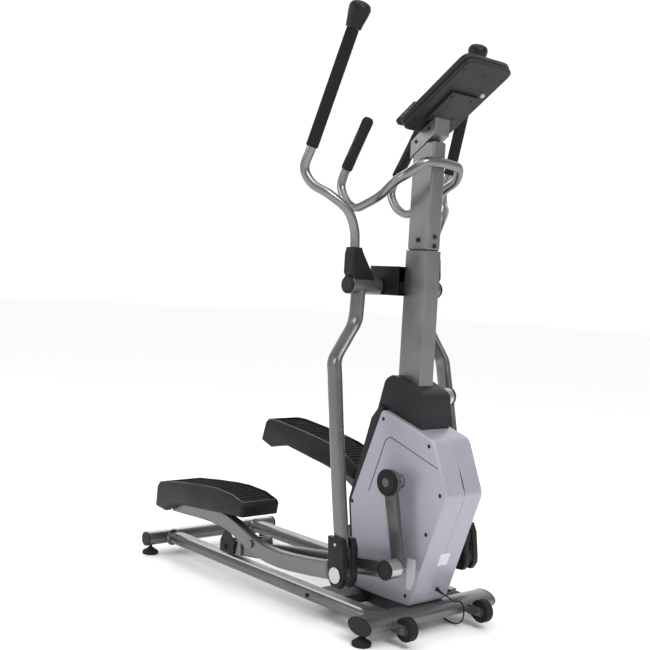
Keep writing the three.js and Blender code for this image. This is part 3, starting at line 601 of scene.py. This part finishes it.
def strip_of(xs, y0, y1, low, high):
    """A closed slab that follows the pedal's top line at the given heights over it."""
    corners = ((y0, low), (y1, low), (y1, high), (y0, high))
    return solid_of([[at(x, y, top_height(x) + h) for y, h in corners] for x in xs])


def pedal_shell(tag):
    """The pedal with rounded edges and a shallow tray cut into its top."""
    node = "pedal_" + tag
    obj = add(f"pedal_shell_{tag}", cad_shape(node), "black_plastic", "pedal_arm_" + tag, [node], bevel=0.007)
    obj.modifiers["soft_edges"].segments = 4
    cut_line = [-943, -930, -905, -870, -800, -740, -700, -640, -600, -560, -530, -512]
    tool_mesh = finished(strip_of(cut_line, -235, -115, -10, 40), side_matrix("pedal_arm", tag))
    tool = bpy.data.objects.new("tool", tool_mesh)
    bpy.context.scene.collection.objects.link(tool)
    cut = obj.modifiers.new("tray", "BOOLEAN")
    cut.operation, cut.solver, cut.object = "DIFFERENCE", "EXACT", tool
    bpy.context.view_layer.update()
    made = bpy.data.meshes.new_from_object(obj.evaluated_get(bpy.context.evaluated_depsgraph_get()))
    obj.modifiers.clear()
    obj.data = made
    bpy.data.objects.remove(tool)
    made.materials.clear()
    made.materials.append(MATS["black_plastic"])
    made.shade_smooth()
    made.set_sharp_from_angle(angle=math.radians(32))
    soft = obj.modifiers.new("soft_edges", "BEVEL")
    soft.width, soft.segments, soft.limit_method, soft.harden_normals = 0.0012, 2, "ANGLE", True


for tag, _ in SIDES:
    pedal_shell(tag)


def tread():
    parts = [strip_of([-940 + 6 * k for k in range(71)], -232, -118, -9.8, -7)]
    for k in range(26):
        x = -930 + 16 * k
        parts.append(strip_of([x, x + 5], -224, -126, -7.2, -4.4))
    return joined(parts)


both("pedal_tread", "pedal_arm", tread, "tread", bevel=0.0008)

# ---- rollers and transport wheels ----------------------------------------------------------------
WHEEL_X, WHEEL_Y, WHEEL_Z = WHEEL


def mirrored(rim, count):
    """A closed profile: the rim, and its first count points again on the other side of height 0."""
    return [*rim, *[(r, -h) for r, h in reversed(rim[:count])], rim[0]]


for tag, k in SIDES:
    rim = [(0.0053, -0.012), (0.009, -0.0105), (0.0235, -0.0105), (0.025, -0.012), (0.0285, -0.012)]
    rim += [(0.0302, -0.0102), (0.0305, -0.006), (0.0305, -0.002), (0.0299, 0), (0.0305, 0.002)]
    y = k * WHEEL_Y
    wheel = lathe(mirrored(rim, 8), at(WHEEL_X, y, WHEEL_Z), at(WHEEL_X, y + 1, WHEEL_Z))
    add("wheel_tyre_" + tag, finished(wheel), "rubber", "wheel_" + tag, ["transport_wheel_" + tag])

FACE_OUT = 10.6  # from the wheel's middle to the ring on each face
for tag, k in SIDES:
    for face in (-1, 1):
        y = k * WHEEL_Y + face * FACE_OUT
        profile = [(0.0062, 0), (0.0135, 0), (0.0135, 0.0009), (0.0062, 0.0009), (0.0062, 0)]
        ring = lathe(profile, at(WHEEL_X, y, WHEEL_Z), at(WHEEL_X, y + face, WHEEL_Z))
        name = f"wheel_face_{'in' if face * k < 0 else 'out'}_{tag}"
        add(name, finished(ring), "frame_paint", "wheel_" + tag)


def roller():
    half = 0.0138
    rim = [(0.0063, -half), (0.0205, -half), (0.0228, -half + 0.0012), (0.0234, -half + 0.004)]
    rim += [(0.0234, -0.003), (0.0226, 0)]
    return lathe(mirrored(rim, 5), on_right("roller", -RAIL_Y), on_right("roller", 1 - RAIL_Y))


for tag, _ in SIDES:
    mesh = finished(roller(), side_matrix("rod", tag))
    add("roller_tyre_" + tag, mesh, "rubber", "roller_" + tag, ["roller_" + tag])

# ---- fastenings and trim -------------------------------------------------------------------------
def screw(name, p, n, r, mat, body="root", h=0.002, dome=0.0006):
    n = Vector(n).normalized()
    add(name, finished(disc(p, p + n * h, r, 28, dome)), mat, body)


cover_screws = [(49, 500), (96, 381), (57, 273), (-2.5, 99.5), (-120, 548), (-222, 306), (-196, 96)]
for i, (x, z) in enumerate(cover_screws):
    for tag, k in SIDES:
        spot = at(x - 6, k * (HOUSE_HALF - 0.6), z)
        screw(f"cover_screw_{i}_{tag}", spot, (0, k, 0), 0.0058, "black_plastic", h=0.0009, dome=0)

style_line = [(-166, 345), (-113, 493), (-95, 504), (77, 448)]
for tag, k in SIDES:
    groove = [at(x, k * (HOUSE_HALF - 0.2), z) for x, z in style_line]
    line = []
    for a, b in zip(groove, groove[1:]):
        line += [a, a.lerp(b, 0.03), a.lerp(b, 0.5), a.lerp(b, 0.97)]
    groove_mesh = finished(pipe(smooth_line([*line, groove[-1]], 0.01), 0.0011, 10))
    add("cover_line_" + tag, groove_mesh, "charcoal_plastic", "root", smooth=60)


def plate_of(corners, n, thick=0.0004):
    """A thin flat label: its corners, and the direction it faces."""
    n = Vector(n).normalized() * thick
    return finished(solid_of([[Vector(c) + n * t for c in corners] for t in (0.2, 1.2)]))


side_label = [at(x, -HOUSE_HALF, z) for x, z in ((9, 118), (22, 150), (22, 200), (-8, 200), (-8, 118))]
add("label_side", plate_of(side_label, (0, -1, 0)), "blank_label", "root")

# The blank label on the covers' lower front face, at shares of that face's slope.
SLOPE_LOW, SLOPE_HIGH = at(7, 0, 73), at(113, 0, 380)
slope = SLOPE_HIGH - SLOPE_LOW
front_label = [
    SLOPE_LOW + slope * share + Vector((0, y / 1000, 0))
    for y, share in ((-16, 0.36), (22, 0.36), (22, 0.47), (-16, 0.47))
]
add("label_front", plate_of(front_label, Vector((slope.z, 0, -slope.x))), "blank_label", "root")

front = [(60, 508), (75.4, 470), (111.6, 381), (97, 336), (60, 226), (12, 86)]
seam = smooth_line([at(x - 1.5, 0, z) for x, z in front], 0.02)
add("cover_seam", finished(pipe(seam, 0.0009, 8)), "black_plastic", "root", smooth=60)

JOINT_Z = 1007  # where the mast meets the lower column
for i, z in enumerate((1045, 1020)):
    x = -46 if z > JOINT_Z else -44
    screw(f"mast_bolt_front_{i}", at(x, 0, z), (1, 0, 0), 0.0062, "black_plastic", h=0.003)

WELD = [(0.0222, -0.003), (0.026, -0.001), (0.026, 0.001)]
WELD += [(0.0195, 0.006), (0.0195, -0.003), (0.0222, -0.003)]
TRACK_X0, TRACK_X1 = -925, -55
for tag, k in SIDES:
    rail = k * RAIL_Y
    screw("mast_bolt_side_" + tag, at(-82, k * 25, 1035), (0, k, 0), 0.0068, "black_plastic", h=0.003)
    screw("bracket_bolt_a_" + tag, at(-64, k * 28.4, 1332), (0, k, 0), 0.005, "black_plastic")
    screw("bracket_bolt_b_" + tag, at(-108, k * 28.4, 1300), (0, k, 0), 0.005, "black_plastic")
    weld = lathe(WELD, at(-956.5, rail, 50), at(-955.5, rail, 50))
    add("rail_weld_" + tag, finished(weld), "frame_paint", "root")
    # A thin black strip along each rail's top: it is the roller's track, and it is also painted shade, black
    # for the shade that falls along the rail's top between its lips.
    shade_strip = block(at(TRACK_X0, rail - 11.5, 70.6), at(TRACK_X1, rail + 11.5, 71.2))
    add("track_top_shade_" + tag, finished(shade_strip), "black_plastic", "root")
    for j, dy in enumerate((-13.2, 13.2)):
        lip = block(at(TRACK_X0, rail + dy - 1, 66), at(TRACK_X1, rail + dy + 1, 71.6))
        add(f"track_lip_{j}_{tag}", finished(lip), "bare_steel", "root", bevel=0.0005)
    screw("track_stop_" + tag, at(-262, k * (RAIL_Y + 19), 50), (0, k, 0), 0.006, "black_plastic", h=0.004)

back_n = on_console(0, 0, -1) - on_console(0, 0, 0)  # the way the console's back faces
rim_screws = [(241.6, -78), (242.8, 0), (241.6, 78), (127, -82), (127, 82), (14, -80), (14, 80)]
for i, (s, y) in enumerate(rim_screws):
    spot = on_console(s * 0.97 + 2, y * 0.97, 0.3)
    screw(f"console_screw_{i}", spot, back_n, 0.0042, "black_plastic", h=0.001)
for i, (s, y) in enumerate([(76, -38), (76, 38), (150, -38), (150, 38)]):
    screw(f"plate_screw_{i}", on_console(s, y, -6.4), back_n, 0.0045, "black_plastic", h=0.002)
screw("console_socket", on_console(176, 58, 0.2), back_n, 0.006, "pale_trim", h=0.006)


def console_slab(s0, s1, y0, y1, h0, h1):
    """A flat slab on the console, between two values each of slope, Y and height."""
    corners = ((s0, y0), (s1, y0), (s1, y1), (s0, y1))
    return finished(solid_of([[on_console(s, y, h) for s, y in corners] for h in (h0, h1)]))


add("console_plate_skin", console_slab(59.5, 166.5, -50.5, 50.5, -7.2, -0.2), "charcoal_plastic", "root")
add("console_display", console_slab(126, 236, -62, 62, 28.1, 28.9), "glass", "root")
add("console_readout", console_slab(142, 222, -46, 46, 28.95, 29.2), "display", "root")
for i in range(4):
    add(f"console_bar_{i}", console_slab(150 + 18 * i, 162 + 18 * i, -40, 40, 29.25, 29.4), "glass", "root")


def cap_at(point, y, out, r, sides=40):
    """A disc maker: on the right side at a joint, from y to out."""
    return lambda: disc(on_right(point, y), on_right(point, out), r, sides)


def crank_trim():
    x, z = CRANK
    return disc(at(x, -125.8, z), at(x, -126.6, z), 0.012, 32)


both("hub_button", "crankset", crank_trim, "frame_paint")
both("pin_cap", "rod", cap_at("pin", -156.6, -161, 0.0258), "black_plastic")
both("pin_dish", "rod", cap_at("pin", -161, -162, 0.019), "charcoal_plastic")


def pin_sleeve():
    start, end = on_right("pin", -118), on_right("pin", -155)
    n = (end - start).length
    return lathe([(0.0235, 0), (0.0244, 0.001), (0.0244, n - 0.001), (0.0235, n), (0.0235, 0)], start, end)


both("pin_sleeve", "rod", pin_sleeve, "bare_steel")
both("pivot_dish", "root", cap_at("axle", -176.8, -178.4, 0.0185), "charcoal_plastic")
both("joint_disc", "swing_arm", cap_at("joint", -234.8, -236.6, 0.0212), "bare_steel")
both(
    "joint_hole",
    "swing_arm",
    lambda: disc(at(-116, -232.6, 228), at(-116, -233.4, 228), 0.0042, 24),
    "pale_trim",
)


def roller_plate():
    """The plate outside the roller, and its axle's hexagon head."""
    outline = [(-668, 79), (-602, 79), (-596, 118), (-622, 143), (-650, 143), (-668, 112)]
    plate = solid_of([[at(x, y, z) for x, z in outline] for y in (-192.5, -189.2)])
    return joined([plate, disc(on_right("roller", -192), on_right("roller", -197), 0.0095, 6)])


both("roller_bracket", "rod", roller_plate, "black_plastic", bevel=0.0015)

# ---- stage and light -----------------------------------------------------------------------------
def stage_mesh(name, verts, faces, color, rough):
    mesh = bpy.data.meshes.new(name)
    mesh.from_pydata(verts, [], faces)
    obj = bpy.data.objects.new(name, mesh)
    bpy.context.scene.collection.objects.link(obj)
    m = bpy.data.materials.new(name)
    m.use_nodes = True
    m.node_tree.nodes["Principled BSDF"].inputs["Base Color"].default_value = (*color, 1)
    m.node_tree.nodes["Principled BSDF"].inputs["Roughness"].default_value = rough
    mesh.materials.append(m)


FLOOR = 30  # half the floor's width in metres
floor_corners = [(-FLOOR, -FLOOR, 0), (FLOOR, -FLOOR, 0), (FLOOR, FLOOR, 0), (-FLOOR, FLOOR, 0)]
stage_mesh("floor", floor_corners, [(0, 1, 2, 3)], (0.95, 0.95, 0.95), 0.85)


def area(name, location, target, size, power):
    light = bpy.data.lights.new(name, "AREA")
    light.energy, light.size = power, size
    obj = bpy.data.objects.new(name, light)
    bpy.context.scene.collection.objects.link(obj)
    obj.location = location
    obj.rotation_euler = (Vector(target) - Vector(location)).to_track_quat("-Z", "Y").to_euler()


area("key", (3.4, -0.6, 3.2), (0.1, 0, 0.7), 1.6, 70)
area("side", (-1.8, -3.6, 2.2), (0, 0, 0.7), 1.4, 38)
area("rim", (-3.0, 2.4, 3.0), (0, 0, 0.8), 2.0, 50)
sun = bpy.data.objects.new("sky", bpy.data.lights.new("sky", "SUN"))
sun.data.energy, sun.data.angle = 1.5, 1.2
sun.rotation_euler = (math.radians(12), math.radians(16), 0)
bpy.context.scene.collection.objects.link(sun)

# The surroundings are white where the main camera looks and grey elsewhere, like a white backdrop.
world = bpy.data.worlds.new("world")
bpy.context.scene.world = world
world.use_nodes = True
wn, wl = world.node_tree.nodes, world.node_tree.links
direction = wn.new("ShaderNodeTexCoord")
facing = wn.new("ShaderNodeVectorMath")
facing.operation = "DOT_PRODUCT"
facing.inputs[1].default_value = -back
wl.new(direction.outputs["Generated"], facing.inputs[0])
fade = wn.new("ShaderNodeMapRange")
fade.interpolation_type = "SMOOTHSTEP"
for key, value in (("From Min", 0.1), ("From Max", 0.8), ("To Min", 0.42), ("To Max", 1.08)):
    fade.inputs[key].default_value = value
wl.new(facing.outputs["Value"], fade.inputs["Value"])
wl.new(fade.outputs["Result"], wn["Background"].inputs["Strength"])
wn["Background"].inputs["Color"].default_value = (1, 1, 1, 1)
bpy.context.scene.view_settings.view_transform = "Standard"
